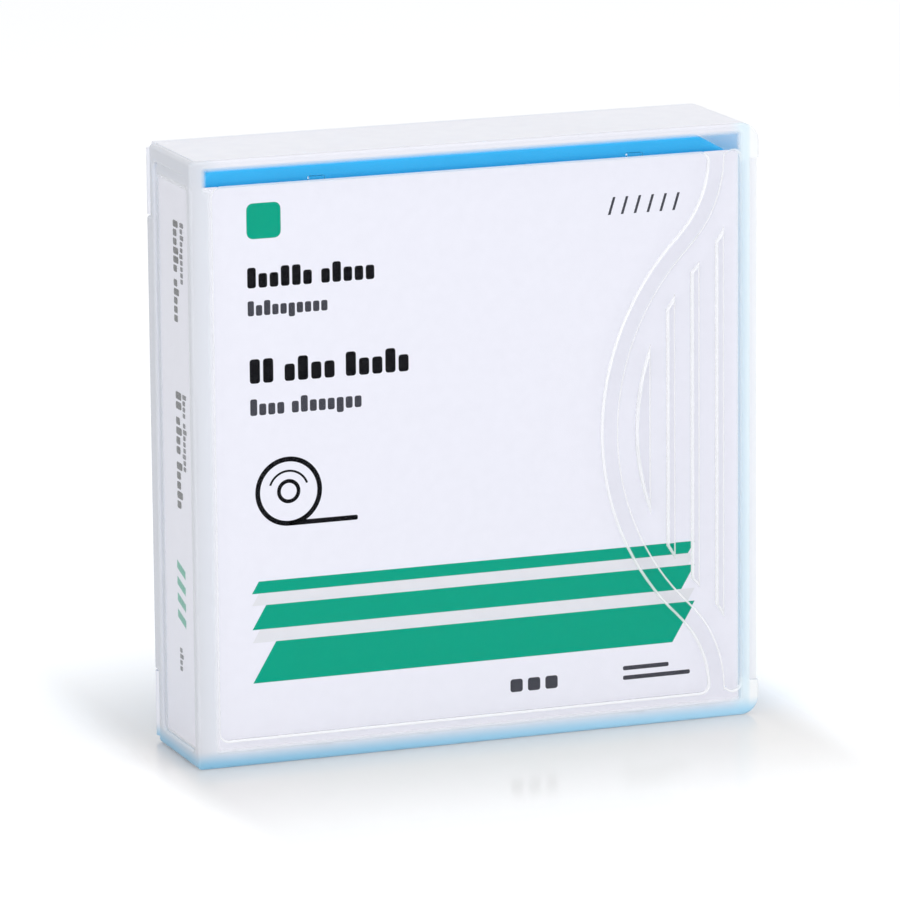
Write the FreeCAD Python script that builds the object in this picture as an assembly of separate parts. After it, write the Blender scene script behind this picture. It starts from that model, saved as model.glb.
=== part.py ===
import FreeCAD, Part
import math
import os

V = FreeCAD.Vector

# The object stands upright: X runs from the spine to the opening edge, Y from the
# lid to the tray's back, Z up. The origin is at the middle of the bottom.
# All sizes are in millimetres.

# How far a cut runs past the face that it opens
over = 1.0

# Case
lidPlate = 1.2          # front plate of the lid
spinePlate = 1.2        # spine plate of the lid
trayBack = 1.1          # back plate of the tray
trayWall = 1.4          # top and bottom wall of the tray
trayEnd = 2.0           # wall of the tray at the opening edge
openCornerRadius = 3.4  # the two corners at the opening edge
spineCornerRadius = 0.8
edgeRadius = 0.6        # rounding round the front and the back
lidSeam = 0.2           # gap between the closed lid and the tray's walls

# Case hinge, moulded into both halves
barrelRadius = 1.3
barrelGap = 0.3         # round the barrel and between its lengths
barrelEnd = 1.0         # from the case's ends to the tray's barrels
trayBarrelLength = 12.0
pegRadius = 0.6
pegLength = 1.6
pegFit = 0.08           # running fit of the peg in its socket
spineRelief = 0.4       # from the tray's barrel to the spine plate

# Lid: sunk panel, finger grip, thumb notch
panelDepth = 0.55
panelMargin = 5.0       # top and bottom border of the sunk panel
panelSide = 4.3         # border at the spine
panelCorner = 1.5
gripReach = 31.0        # from the opening edge to the outermost point of the ridge
gripEndInset = 10.1     # from the opening edge to the ends of the ridge
gripMargin = 5.55       # from the ends of the ridge to top and bottom
gripReturnRadius = 19.7 # counter sweep at the ridge's two ends
ridgeWidth = 3.4
windowDepth = 0.7
windowBorder = 3.7      # from the window to the opening edge
windowMargin = 4.9      # from the window's round ends to top and bottom
windowEndShare = 0.49   # radius of the window's ends, as a share of its narrow width
ribRise = 6.8           # from the ridge's outer edge to the ribs' sweep
ribCount = 3
ribPitch = 4.8
ribWidth = 1.7
ribInset = 21.2         # from the opening edge to the straight side of the first rib
notchDepth = 1.95
notchMargin = 6.4
spinePanelFront = 2.2   # from the front to the spine's sunk panel
spinePanelBack = 4.6    # from the back to the spine's sunk panel
spinePanelMargin = 3.0
rimShare = 0.9          # rounding of the sunk fields' rims, as a share of the panel's depth

# Lid: card hooks and closing lip
hookLength = 3.0
hookThickness = 0.5
hookPost = 0.6
hookReach = 0.9
hookInset = 24.0
hookGap = 0.1           # between hook and sheet
lipThickness = 0.8
lipDepth = 4.5
lipGap = 0.3            # between lip and the tray's end wall
lipMargin = 7.0         # from the lip to top and bottom

# Paper insert
sheetThickness = 0.2
sheetGap = 0.05         # between sheet and plates
sheetBottom = 2.7
sheetTopMargin = 4.8
sheetEndMargin = 3.8    # from the sheet's free edge to the opening edge
sheetFold = 2.2         # inside radius at the spine fold
sheetSpineEnd = 5.0     # from the back to the sheet's other free edge

# Cartridge's seat in the case
cartGapFront = 0.3      # to the card hooks
cartGapBack = 0.25      # to the tray's back
cartGapSpine = 0.3      # to the hinge barrel
cartGapLip = 0.6        # to the closing lip
cartGapTop = 0.6        # to the tray's top wall
seatRibHeight = 1.2
seatRibThickness = 1.2
seatRibCount = 3
seatRibInset = 12.0
stopRibGap = 0.3
stopRibLength = 10.0
hubBossGap = 0.35       # from the ring on the tray's back to the drive teeth
hubBossInset = 2.5      # from the hub opening's edge
hubBossWall = 1.4

# Cartridge shells
shellWall = 1.8
shellFloor = 1.6
shellRound = 0.7
labelCorner = 2.5
noseLength = 7.5        # cut-off corner beside the memory board
noseDrop = 4.2
doorCorner = 2.5
shellCorner = 0.8       # all other inside and outside corners
hubOpeningGap = 0.7     # round the drive teeth
labelRecess = 0.3
labelSide = 12.0
labelReach = 17.0
labelTopStart = 3.0
labelEndMargin = 3.0
labelEndStop = 19.4     # from the memory side to the end label's recess
gripGrooveCount = 5
gripGroovePitch = 2.6
gripGrooveWidth = 1.3
gripGrooveDepth = 0.5
gripGrooveStart = 7.0
gripGrooveMargin = 3.0
handlingNotchStart = 27.0
handlingNotchLength = 6.0
handlingNotchDepth = 1.2
arrowDepth = 0.4
arrowLength = 5.0
arrowWidth = 6.0
arrowInset = 4.0        # from the leading edge to the arrow's tip
guardGap = 1.0          # from the flanges to the guard rib
guardWall = 1.0
guardHeight = 4.0
guardStart = 9.0        # from the reel's centre to the guard rib's ends
openingBevel = 0.5

# Reel: tape and flanges
tapeWidth = 12.65
tapeSideGap = 0.3
tapeRimGap = 1.6        # from the tape to the flanges' rim
flangeRadius = 48.2
flangeThickness = 1.1
flangeTaper = 0.3
flangeLip = 1.5         # the upper flange's inner edge inside its spigot
reelGapTop = 1.8        # from the upper shell to the upper flange
reelGapBottom = 1.05    # from the lower flange to the lower shell
reelGapLabel = 0.8
reelGapLead = 1.2
reelGapDoor = 0.6       # from the door's guide to the flanges
reelGapFar = 2.4
spigotHeight = 1.5
spigotWall = 1.0
spigotFit = 0.1

# Reel: hub, drive teeth and clutch plate
hubWall = 2.4
hubFloor = 1.8
hubFloorRecess = 0.35   # the floor's underside above the lower flange's underside
hubBoreRadius = 4.5
seatSkirtGap = 0.5      # round the hub opening
seatSkirtWall = 2.0
reelSeatGap = 0.3
driveTeeth = 60
driveInner = 14.2
driveOuter = 17.8
driveToothHeight = 1.2
driveRecess = 1.3       # tooth tips below the bottom face
clutchInner = 6.5
clutchGap = 0.6         # from the plate to the drive teeth
clutchThickness = 1.0
clutchHoleRadius = 1.2

# Reel brake
brakeTeeth = 45
brakeInner = 11.0
brakeOuter = 14.5
brakeToothHeight = 1.0
brakeToothGap = 0.3
lugTeeth = 6
lugHeight = 1.6
lugCount = 3
buttonRim = 1.0         # outside the button's teeth
buttonPlate = 1.5
buttonBossRadius = 5.8
buttonBossRise = 4.4
buttonTipRadius = 3.5
buttonSlotFloor = 0.6
releaseGap = 0.3
releasePlate = 1.2
releaseRadius = 9.0
releaseArmWidth = 5.0
releaseLegWidth = 2.0
releaseLegDepth = 1.8
releaseLegGap = 0.35
releaseLegRecess = 0.6  # below the drive teeth's tips
releaseHubGap = 2.7     # from the legs to the hub's wall
postArm = 3.6
postThickness = 1.6
postGap = 0.25
postTipGap = 0.8        # left at the end of the release travel
brakeTravel = 1.6
brakeWire = 0.8
brakeSpringTurns = 3.5
brakeSpringTop = 11.5
brakeSpringFoot = 8.0

# Access door
doorOpeningInset = 3.5  # from the leading edge
doorOpeningLength = 18.5
doorOpeningMargin = 2.6
doorLap = 1.0
doorThickness = 1.2
doorGap = 0.2
doorLugWidth = 1.4
doorLugRecess = 0.4
doorTravel = 16.5
doorGuideHeight = 1.0
doorGuideThickness = 0.8
springWire = 0.3
springRadius = 0.95
springSeat = 3.2        # width of the spring's seats
springSeatLength = 2.0
springTurns = 9
springLength = 33.0
springPegLength = 1.5
springPegGap = 0.15
springStop = 1.2
coilSteps = 14          # straight lengths in one turn of a coil spring
wireSides = 6           # sides of a coil spring's wire

# Leader pin
pinFromLead = 11.5
pinFromDoor = 9.6
pinRadius = 1.2
pinFlangeRadius = 2.0
pinFlange = 0.6
pinNeck = 0.8
pinCollar = 0.4
pinTapeGap = 0.05
pinClipWall = 0.6
pinClipFit = 0.05
pinClipOpening = 110.0
pinClipLead = 15.0      # part of the clip's opening past the tape, in degrees
pinSeatGap = 0.2
pinSeatRadius = 2.2
pinPocketGap = 0.25
pinPocketWall = 0.9
pinPocketLength = 3.2
pinPocketHeight = 1.8
pinLeaf = 0.3
pinLeafLength = 7.0
pinLeafWidth = 1.6
pinLeafGap = 0.3
pinLeafPost = 1.2
leaderGap = 0.35        # from the leader's end to the turning pack
leaderThickness = 0.12

# Write-protect slider
slideWindowInset = 6.9  # from the memory side
slideWindowLength = 9.0
slideWindowWidth = 4.6
slideWindowDrop = 1.95  # from the shells' parting plane
slideTabLength = 4.4
slideTabGap = 0.3
slidePlate = 1.8
slideLap = 0.4
slideSideLap = 0.6
slideGuideHeight = 3.9
slideGap = 0.2
slideFloorGap = 0.2
slideTabRecess = 0.5
slideGuide = 1.0

# Memory board
boardLength = 9.0
boardHeight = 12.0
boardThickness = 0.8
boardFromLead = 9.5
boardFromSide = 10.0
boardPost = 2.0
boardPostWall = 0.9
boardPostHeight = 6.0
boardGap = 0.1
boardSlotDepth = 0.7

# Shell screws
screwRadius = 0.95
screwLength = 13.0
screwHeadRadius = 1.9
screwHead = 1.1
screwHeadRecess = 0.4
screwFit = 0.15
screwBossRadius = 2.5
screwHeadFit = 0.2
screwPilotSpare = 0.6
screwSlotLength = 2.2
screwSlotWidth = 0.5
screwSlotDepth = 0.5
screwLabelInset = 9.5
screwSideInset = 7.0
screwLeadInset = 5.6
screwLeadSide = 19.0

# The reel's levels, from the cartridge's top face down
reelTop = shellFloor + reelGapTop
upperFlangeUnder = reelTop + flangeThickness
tapeStart = upperFlangeUnder + tapeSideGap
tapeEnd = tapeStart + tapeWidth
lowerFlangeTop = tapeEnd + tapeSideGap
lowerFlangeUnder = lowerFlangeTop + flangeThickness
hubFace = lowerFlangeUnder + reelGapBottom
hubFloorUnder = lowerFlangeUnder - hubFloorRecess
hubFloorTop = hubFloorUnder - hubFloor

# The cartridge's size: 102.0 long, 105.4 wide and 21.5 thick
doorPlateZ = shellWall + doorGap
doorGuideZ = doorPlateZ + doorThickness + doorGap
reelFromDoor = doorGuideZ + doorGuideThickness + reelGapDoor + flangeRadius
reelFromLabel = shellWall + reelGapLabel + flangeRadius
cartWidth = reelFromDoor + flangeRadius + reelGapFar + shellWall
cartLength = reelFromLabel + flangeRadius + reelGapLead + shellWall
cartThick = hubFace + shellFloor
split = cartThick / 2

# The case's size: 108.6 wide, 25.2 deep and 110.0 high
hookFront = lidPlate + sheetGap + sheetThickness + hookGap
caseWidth = 2 * barrelRadius + cartGapSpine + cartLength + cartGapLip + lipThickness + lipGap + trayEnd
caseDepth = hookFront + hookThickness + cartGapFront + cartThick + cartGapBack + trayBack
caseHeight = trayWall + seatRibHeight + cartWidth + cartGapTop + trayWall

# Positions in the case
left = -caseWidth / 2
right = caseWidth / 2
front = -caseDepth / 2
back = caseDepth / 2
middle = caseHeight / 2
lidInside = front + lidPlate
trayInside = back - trayBack
hingeX = left + barrelRadius
hingeY = back - barrelRadius
cartX = left + 2 * barrelRadius + cartGapSpine
cartY = front + hookFront + hookThickness + cartGapFront
cartZ = trayWall + seatRibHeight
sheetTop = caseHeight - sheetTopMargin

# Radii about the reel's centre
tapeRadius = flangeRadius - tapeRimGap
releaseLegRadius = (driveInner + driveOuter) / 2
hubInside = releaseLegRadius + releaseLegDepth / 2 + releaseHubGap
hubRadius = hubInside + hubWall
hubOpeningRadius = driveOuter + hubOpeningGap
seatSkirtInner = hubOpeningRadius + seatSkirtGap
seatSkirtOuter = seatSkirtInner + seatSkirtWall
clutchOuter = driveInner - clutchGap
clutchHoleCircle = (clutchInner + clutchOuter) / 2
buttonRadius = brakeOuter + buttonRim
hubBossRadius = hubOpeningRadius - hubBossInset
hubBossHeight = cartGapBack + driveRecess - hubBossGap

# Levels of the brake and the drive teeth
driveTip = cartThick - driveRecess
lugTip = hubFloorTop - lugHeight - brakeToothHeight
buttonToothTip = lugTip - brakeToothGap
buttonUnder = buttonToothTip - brakeToothHeight
buttonTop = buttonUnder - buttonPlate
buttonBossTop = buttonTop - buttonBossRise
releaseUnder = hubFloorTop - releaseGap
releaseTop = releaseUnder - releasePlate
buttonTip = releaseTop - releaseGap
buttonSlotEnd = buttonUnder - buttonSlotFloor
postTip = buttonSlotEnd - brakeTravel - postTipGap

# Places of the door, the leader pin and the slider
doorOpeningStart = cartLength - doorOpeningInset - doorOpeningLength
doorStart = doorOpeningStart - doorLap
springZ = doorPlateZ + springRadius + springWire / 2
springEdge = springZ + springRadius + springWire / 2
springStopX = doorStart - springLength
pinX = cartLength - pinFromLead
pinZ = pinFromDoor
pinLength = tapeWidth + 2 * (pinTapeGap + pinCollar + pinNeck + pinFlange)
pinStart = (tapeStart + tapeEnd - pinLength) / 2
pinEnd = pinStart + pinLength
slideTravel = slideWindowLength - slideTabLength - 2 * slideTabGap
slideX = shellWall + slideGap
slideWindowStart = cartWidth - slideWindowInset - slideWindowLength
slideWindowTop = split + slideWindowDrop


def at(a, b, level, axis):
    """A point from two outline coordinates and its level along the axis."""
    if axis == "x":
        return V(level, a, b)
    if axis == "y":
        return V(a, level, b)
    return V(a, b, level)


def outline(corners, level, axis):
    """A closed wire through corners (a, b, radius), rounded where radius is above 0."""
    count = len(corners)
    ends = []
    for i in range(count):
        a, b, radius = corners[i]
        here = V(a, b, 0)
        before = V(corners[i - 1][0], corners[i - 1][1], 0) - here
        after = V(corners[(i + 1) % count][0], corners[(i + 1) % count][1], 0) - here
        before.normalize()
        after.normalize()
        if radius <= 0:
            ends.append((here, None, here))
            continue
        half = before.getAngle(after) / 2
        inward = before + after
        inward.normalize()
        middlePoint = here + inward * (radius / math.sin(half) - radius)
        reach = radius / math.tan(half)
        ends.append((here + before * reach, middlePoint, here + after * reach))
    edges = []
    for i in range(count):
        first, bend, last = ends[i]
        start = ends[(i + 1) % count][0]
        if bend is not None:
            arc = Part.Arc(at(first.x, first.y, level, axis), at(bend.x, bend.y, level, axis),
                           at(last.x, last.y, level, axis))
            edges.append(arc.toShape())
        if (start - last).Length > 1e-6:
            edges.append(Part.makeLine(at(last.x, last.y, level, axis), at(start.x, start.y, level, axis)))
    return Part.Wire(edges)


def prism(corners, low, high, axis="y"):
    """A rounded outline drawn across the axis and carried from low to high along it."""
    face = Part.Face(outline(corners, low, axis))
    return face.extrude(at(0, 0, high - low, axis))


def block(x0, x1, y0, y1, z0, z1):
    return Part.makeBox(x1 - x0, y1 - y0, z1 - z0, V(x0, y0, z0))


def disc(x, z, radius, y0, y1):
    """A round bar along Y."""
    return Part.makeCylinder(radius, y1 - y0, V(x, y0, z), V(0, 1, 0))


def ring(x, z, outer, inner, y0, y1):
    return disc(x, z, outer, y0, y1).cut(disc(x, z, inner, y0 - over, y1 + over))


def rectangle(x0, x1, z0, z1, radius=0):
    return [(x0, z0, radius), (x1, z0, radius), (x1, z1, radius), (x0, z1, radius)]


def spin(profile, x, z):
    """A solid of revolution about the line along Y through (x, z), from (radius, y) corners."""
    points = [V(x + radius, y, z) for radius, y in profile]
    face = Part.Face(Part.makePolygon(points + [points[0]]))
    return face.revolve(V(x, 0, z), V(0, 1, 0), 360)


def turned(shape, angle, x, z):
    """A copy turned about the line along Y through (x, z)."""
    copy = shape.copy()
    copy.rotate(V(x, 0, z), V(0, 1, 0), angle)
    return copy


def wedge(inner, outer, width, root, tip, x, z):
    """One radial tooth along +X, a triangle that narrows from root to tip along Y."""
    corners = [V(x + inner, root, z - width / 2), V(x + inner, root, z + width / 2), V(x + inner, tip, z)]
    face = Part.Face(Part.makePolygon(corners + [corners[0]]))
    return face.extrude(V(outer - inner, 0, 0))


def faceTeeth(count, inner, outer, root, tip, x, z, angles):
    """Radial teeth at the given angles, each as wide as the pitch at its inner end allows."""
    width = 2 * math.pi * inner / count * 0.94
    tooth = wedge(inner, outer, width, root, tip, x, z)
    return [turned(tooth, angle, x, z) for angle in angles]


# Case

def caseBlock():
    """The outer form of the closed case, rounded round its front and back."""
    solid = prism([(left, 0, spineCornerRadius), (right, 0, openCornerRadius),
                   (right, caseHeight, openCornerRadius), (left, caseHeight, spineCornerRadius)], front, back)
    rims = [edge for edge in solid.Edges
            if edge.BoundBox.YLength < 1e-6]
    return solid.makeFillet(edgeRadius, rims)


def hingeBarrel(z0, z1):
    return Part.makeCylinder(barrelRadius, z1 - z0, V(hingeX, hingeY, z0))


def trayBarrels():
    """Height ranges of the tray's two barrels."""
    low = barrelEnd
    high = caseHeight - barrelEnd
    return [(low, low + trayBarrelLength), (high - trayBarrelLength, high)]


def caseTray():
    start = left + spinePlate + lidSeam
    body = caseBlock().common(block(start, right + over, lidInside + lidSeam, back + over,
                                    -over, caseHeight + over))
    inner = openCornerRadius - trayWall
    pocket = prism([(left - over, trayWall, 0), (right - trayEnd, trayWall, inner),
                    (right - trayEnd, caseHeight - trayWall, inner), (left - over, caseHeight - trayWall, 0)],
                   front - over, trayInside)
    body = body.cut(pocket)
    plateEdge = left + 2 * barrelRadius + barrelGap
    body = body.cut(block(left - over, plateEdge, hingeY - barrelRadius - barrelGap, back + over,
                          barrelEnd, caseHeight - barrelEnd))
    added = []
    for z0, z1 in trayBarrels():
        added.append(hingeBarrel(z0, z1))
        added.append(block(hingeX, plateEdge, trayInside, back, z0, z1))
    added += seatRibs() + stopRibs()
    hubX = cartX + reelFromLabel
    hubZ = cartZ + reelFromDoor
    added.append(ring(hubX, hubZ, hubBossRadius, hubBossRadius - hubBossWall,
                      trayInside - hubBossHeight, trayInside))
    body = body.fuse(added)
    for z in (barrelEnd + trayBarrelLength - pegLength - barrelGap,
              caseHeight - barrelEnd - trayBarrelLength):
        socket = Part.makeCylinder(pegRadius + pegFit, pegLength + barrelGap, V(hingeX, hingeY, z))
        body = body.cut(socket)
    return body.removeSplitter()


def seatRibs():
    """Ribs on the bottom wall that carry the cartridge."""
    first = cartX + seatRibInset
    step = (cartLength - 2 * seatRibInset) / (seatRibCount - 1)
    ribs = []
    for i in range(seatRibCount):
        x = first + i * step
        ribs.append(block(x - seatRibThickness / 2, x + seatRibThickness / 2, cartY + shellRound, trayInside,
                          trayWall, cartZ))
    return ribs


def stopRibs():
    """Ribs on the end wall that keep the cartridge's leading edge in place."""
    edge = cartX + cartLength + stopRibGap
    ribs = []
    for side in (-1, 1):
        z = middle + side * stopRibLength
        ribs.append(block(edge, right - trayEnd, trayInside - cartThick / 2, trayInside,
                          z - seatRibThickness / 2, z + seatRibThickness / 2))
    return ribs


def gripBulge(offset, reach):
    """The D-shaped area inside the grip's double sweep, moved in by offset and closed by a
    straight side reach beyond the sweep's ends, as a flat outline."""
    sag = gripReach - gripEndInset
    returnZ = middle - gripMargin
    bothRadii = (sag ** 2 + returnZ ** 2) / (2 * sag)
    sweepRadius = bothRadii - gripReturnRadius
    centreX = right - gripReach + sweepRadius
    returnX = right - gripEndInset - gripReturnRadius
    main = sweepRadius - offset
    turn = gripReturnRadius + offset
    lean = math.atan2(returnZ, centreX - returnX)
    meetX = centreX - main * math.cos(lean)
    meetZ = main * math.sin(lean)
    bendX = returnX + turn * math.cos(lean / 2)
    bendZ = returnZ - turn * math.sin(lean / 2)
    endX = returnX + turn
    closeX = endX + reach
    level = front - over

    def point(x, z):
        return V(x, level, middle + z)

    edges = [Part.Arc(point(endX, -returnZ), point(bendX, -bendZ), point(meetX, -meetZ)).toShape(),
             Part.Arc(point(meetX, -meetZ), point(centreX - main, 0), point(meetX, meetZ)).toShape(),
             Part.Arc(point(meetX, meetZ), point(bendX, bendZ), point(endX, returnZ)).toShape()]
    if reach > 0:
        edges.append(Part.makeLine(point(endX, returnZ), point(closeX, returnZ)))
        edges.append(Part.makeLine(point(closeX, returnZ), point(closeX, -returnZ)))
        edges.append(Part.makeLine(point(closeX, -returnZ), point(endX, -returnZ)))
    else:
        edges.append(Part.makeLine(point(endX, returnZ), point(endX, -returnZ)))
    return Part.Face(Part.Wire(edges))


def sunkPanel():
    """The sunk field over the insert, left of the grip's ridge."""
    field = prism(rectangle(left + panelSide, right - gripEndInset, panelMargin, caseHeight - panelMargin,
                            panelCorner), front - over, front + panelDepth)
    bulge = gripBulge(0, 0).extrude(V(0, 2 * over + panelDepth, 0))
    return field.cut(bulge)


def gripWindow():
    """The sunk window of the finger grip, less its ribs."""
    depth = V(0, over + windowDepth, 0)
    windowRight = right - windowBorder
    slotLeft = right - gripEndInset + ridgeWidth
    slotWidth = windowRight - slotLeft
    slot = prism(rectangle(slotLeft, windowRight, windowMargin, caseHeight - windowMargin,
                           slotWidth * windowEndShare), front - over, front + windowDepth)
    window = gripBulge(ridgeWidth, slotWidth / 2).extrude(depth).fuse(slot)
    ribField = gripBulge(ribRise, over).extrude(depth)
    ribStart = right - ribInset
    bars = [block(left, ribStart, front - over, back, 0, caseHeight)]
    for i in range(ribCount):
        end = ribStart + (i + 1) * ribPitch
        bars.append(block(end - ribWidth, end, front - over, back, 0, caseHeight))
    ribs = ribField.common(Part.makeCompound(bars))
    return window.cut(ribs)


def cardHooks():
    """Small hooks behind the front plate that hold the insert's edges."""
    hooks = []
    lip0 = front + hookFront
    lip1 = lip0 + hookThickness
    for x in (left + hookInset, right - hookInset):
        x0 = x - hookLength / 2
        x1 = x + hookLength / 2
        hooks.append(block(x0, x1, lidInside, lip1, sheetTop + hookGap, sheetTop + hookGap + hookPost))
        hooks.append(block(x0, x1, lip0, lip1, sheetTop + hookGap - hookReach, sheetTop + hookGap))
        hooks.append(block(x0, x1, lidInside, lip1, sheetBottom - hookGap - hookPost, sheetBottom - hookGap))
        hooks.append(block(x0, x1, lip0, lip1, sheetBottom - hookGap, sheetBottom - hookGap + hookReach))
    return hooks


def closingLip():
    """Long lip beside the insert's free edge, which slips inside the tray's end wall."""
    x1 = right - trayEnd - lipGap
    return block(x1 - lipThickness, x1, lidInside, lidInside + lipDepth, lipMargin, caseHeight - lipMargin)


def fieldRims(body):
    """Edges round the sunk fields, the grip's ridge and its ribs, on the lid's outer faces."""
    inset = 2 * edgeRadius
    rims = []
    for edge in body.Edges:
        box = edge.BoundBox
        if box.ZMin < inset or box.ZMax > caseHeight - inset:
            continue
        onFront = box.YMax < front + 1e-6 and box.XMin > left + inset and box.XMax < right - notchDepth - 1e-3
        onSpine = box.XMax < left + 1e-6 and box.YMin > front + inset and box.YMax < back - inset
        if onFront or onSpine:
            rims.append(edge)
    return rims


def caseLid():
    rear = hingeY - barrelRadius - spineRelief
    innerX = left + spinePlate
    profile = [(left - over, front - over, 0), (right + over, front - over, 0), (right + over, lidInside, 0),
               (innerX, lidInside, edgeRadius), (innerX, rear, 0), (left - over, rear, 0)]
    body = caseBlock().common(prism(profile, -over, caseHeight + over, "z"))
    low = barrelEnd + trayBarrelLength + barrelGap
    high = caseHeight - low
    added = [hingeBarrel(low, high), block(left, innerX, rear, hingeY, low, high)]
    for z in (low - pegLength, high):
        added.append(Part.makeCylinder(pegRadius, pegLength, V(hingeX, hingeY, z)))
    added += cardHooks() + [closingLip()]
    body = body.fuse(added)
    cuts = [sunkPanel(), gripWindow()]
    cuts.append(block(right - notchDepth, right + over, front - over, lidInside,
                      notchMargin, caseHeight - notchMargin))
    spineField = [(front + spinePanelFront, spinePanelMargin, panelCorner),
                  (back - spinePanelBack, spinePanelMargin, panelCorner),
                  (back - spinePanelBack, caseHeight - spinePanelMargin, panelCorner),
                  (front + spinePanelFront, caseHeight - spinePanelMargin, panelCorner)]
    cuts.append(prism(spineField, left - over, left + panelDepth, "x"))
    for shape in cuts:
        body = body.cut(shape)
    body = body.removeSplitter()
    return body.makeFillet(rimShare * panelDepth, fieldRims(body))


def paperInsert():
    """One sheet, folded round the inside of the spine."""
    outerX = left + spinePlate + sheetGap
    outerY = lidInside + sheetGap
    outerFold = sheetFold + sheetThickness
    sheetEnd = right - sheetEndMargin
    rear = back - sheetSpineEnd
    profile = [(outerX, rear, 0), (outerX, outerY, outerFold), (sheetEnd, outerY, 0),
               (sheetEnd, outerY + sheetThickness, 0),
               (outerX + sheetThickness, outerY + sheetThickness, sheetFold),
               (outerX + sheetThickness, rear, 0)]
    return prism(profile, sheetBottom, sheetTop, "z")


# Cartridge shells, in the cartridge's own frame: X from the label edge, Y from the face
# under the lid, Z from the side with the access door

def cartCorners(inset):
    """The cartridge's outline, moved in by inset."""
    far = cartLength - inset
    top = cartWidth - inset
    slope = math.hypot(noseLength, noseDrop)
    startX = cartLength - inset * noseDrop / slope
    startZ = cartWidth - noseDrop - inset * noseLength / slope
    toSide = (startX - far) / noseLength
    toTop = (top - startZ) / noseDrop
    return [(inset, inset, labelCorner - inset), (far, inset, doorCorner - inset),
            (far, startZ + noseDrop * toSide, shellCorner),
            (startX - noseLength * toTop, top, shellCorner), (inset, top, labelCorner - inset)]


def shellHalf(y0, y1, pocket0, pocket1):
    """One half of the hollow cartridge body, open at the parting plane."""
    solid = prism(cartCorners(0), 0, cartThick)
    rims = [edge for edge in solid.Edges
            if edge.BoundBox.YLength < 1e-6]
    solid = solid.makeFillet(shellRound, rims)
    half = solid.common(block(-over, cartLength + over, y0, y1, -over, cartWidth + over))
    return half.cut(prism(cartCorners(shellWall), pocket0, pocket1))


def screwPlaces():
    return [(screwLabelInset, screwSideInset), (screwLabelInset, cartWidth - screwSideInset),
            (cartLength - screwLeadInset, screwLeadSide),
            (cartLength - screwLeadInset, cartWidth - screwLeadSide)]


def sideCuts():
    """Door opening, label recess, grip grooves and handling notches, shared by both shells."""
    cuts = [block(doorOpeningStart, doorOpeningStart + doorOpeningLength, doorOpeningMargin,
                  cartThick - doorOpeningMargin, -over, shellWall)]
    cuts.append(block(-over, labelRecess, labelEndMargin, cartThick - labelEndMargin,
                      labelSide, cartWidth - labelEndStop))
    for low, high in ((-over, gripGrooveDepth), (cartWidth - gripGrooveDepth, cartWidth + over)):
        for i in range(gripGrooveCount):
            x = gripGrooveStart + i * gripGroovePitch
            cuts.append(block(x, x + gripGrooveWidth, gripGrooveMargin, cartThick - gripGrooveMargin,
                              low, high))
    for low, high in ((-over, handlingNotchDepth), (cartWidth - handlingNotchDepth, cartWidth + over)):
        cuts.append(block(handlingNotchStart, handlingNotchStart + handlingNotchLength,
                          split - handlingNotchLength / 2, split + handlingNotchLength / 2, low, high))
    return cuts


def doorGuide(y0, y1):
    return block(doorStart - doorTravel, cartLength - shellWall, y0, y1,
                 doorGuideZ, doorGuideZ + doorGuideThickness)


def springStopBlock(y0, y1):
    return block(springStopX - springStop, springStopX, y0, y1, shellWall, springEdge)


def pinSeat(floor, direction, pinFace):
    """Pad, side walls and leaf post under one end face of the leader pin; direction points into
    the cartridge."""
    def rise(height):
        ends = sorted((floor, floor + direction * height))
        return ends[0], ends[1]

    y0, y1 = rise(abs(pinFace - floor) - pinSeatGap)
    parts = [disc(pinX, pinZ, pinSeatRadius, y0, y1)]
    y0, y1 = rise(pinPocketHeight)
    wallStart = pinFlangeRadius + pinPocketGap
    for x0, x1 in ((pinX - wallStart - pinPocketWall, pinX - wallStart),
                   (pinX + wallStart, pinX + wallStart + pinPocketWall)):
        parts.append(block(x0, x1, y0, y1, pinZ - pinPocketLength / 2, pinZ + pinPocketLength / 2))
    y0, y1 = rise(pinLeafWidth)
    leafZ = pinZ + pinFlangeRadius + pinLeafGap
    postX = pinX + pinLeafLength / 2
    parts.append(block(postX, postX + pinLeafPost, y0, y1,
                       leafZ - pinLeafPost / 2, leafZ + pinLeaf + pinLeafPost / 2))
    return parts


def cross(armLength, thickness, y0, y1, x, z):
    flat = block(x - armLength, x + armLength, y0, y1, z - thickness / 2, z + thickness / 2)
    upright = block(x - thickness / 2, x + thickness / 2, y0, y1, z - armLength, z + armLength)
    return flat.fuse(upright)


def upperShell():
    body = shellHalf(0, split, shellFloor, split + over)
    added = [cross(postArm, postThickness, shellFloor, postTip, reelFromLabel, reelFromDoor)]
    for x, z in screwPlaces():
        added.append(disc(x, z, screwBossRadius, shellFloor, split))
    added.append(doorGuide(shellFloor, shellFloor + doorGuideHeight))
    added.append(springStopBlock(split - springSeat / 2, split))
    added += pinSeat(shellFloor, 1, pinStart)
    body = body.fuse(added)
    cuts = sideCuts()
    screwEnd = cartThick - screwHeadRecess - screwHead - screwLength
    for x, z in screwPlaces():
        cuts.append(disc(x, z, screwRadius, screwEnd - screwPilotSpare, split + over))
    cuts.append(block(labelTopStart, labelTopStart + labelReach, -over, labelRecess,
                      labelSide, cartWidth - labelSide))
    tip = cartLength - arrowInset
    mid = cartWidth / 2
    cuts.append(prism([(tip, mid, 0), (tip - arrowLength, mid + arrowWidth / 2, 0),
                       (tip - arrowLength, mid - arrowWidth / 2, 0)], -over, arrowDepth))
    for shape in cuts:
        body = body.cut(shape)
    return body.removeSplitter()


def guardRib():
    """Arc rib round the far half of the flanges."""
    inner = flangeRadius + guardGap
    band = ring(reelFromLabel, reelFromDoor, inner + guardWall, inner, hubFace - guardHeight, hubFace)
    band = band.common(prism(cartCorners(shellWall), 0, cartThick))
    return band.common(block(0, cartLength, 0, cartThick, reelFromDoor + guardStart, cartWidth))


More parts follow.
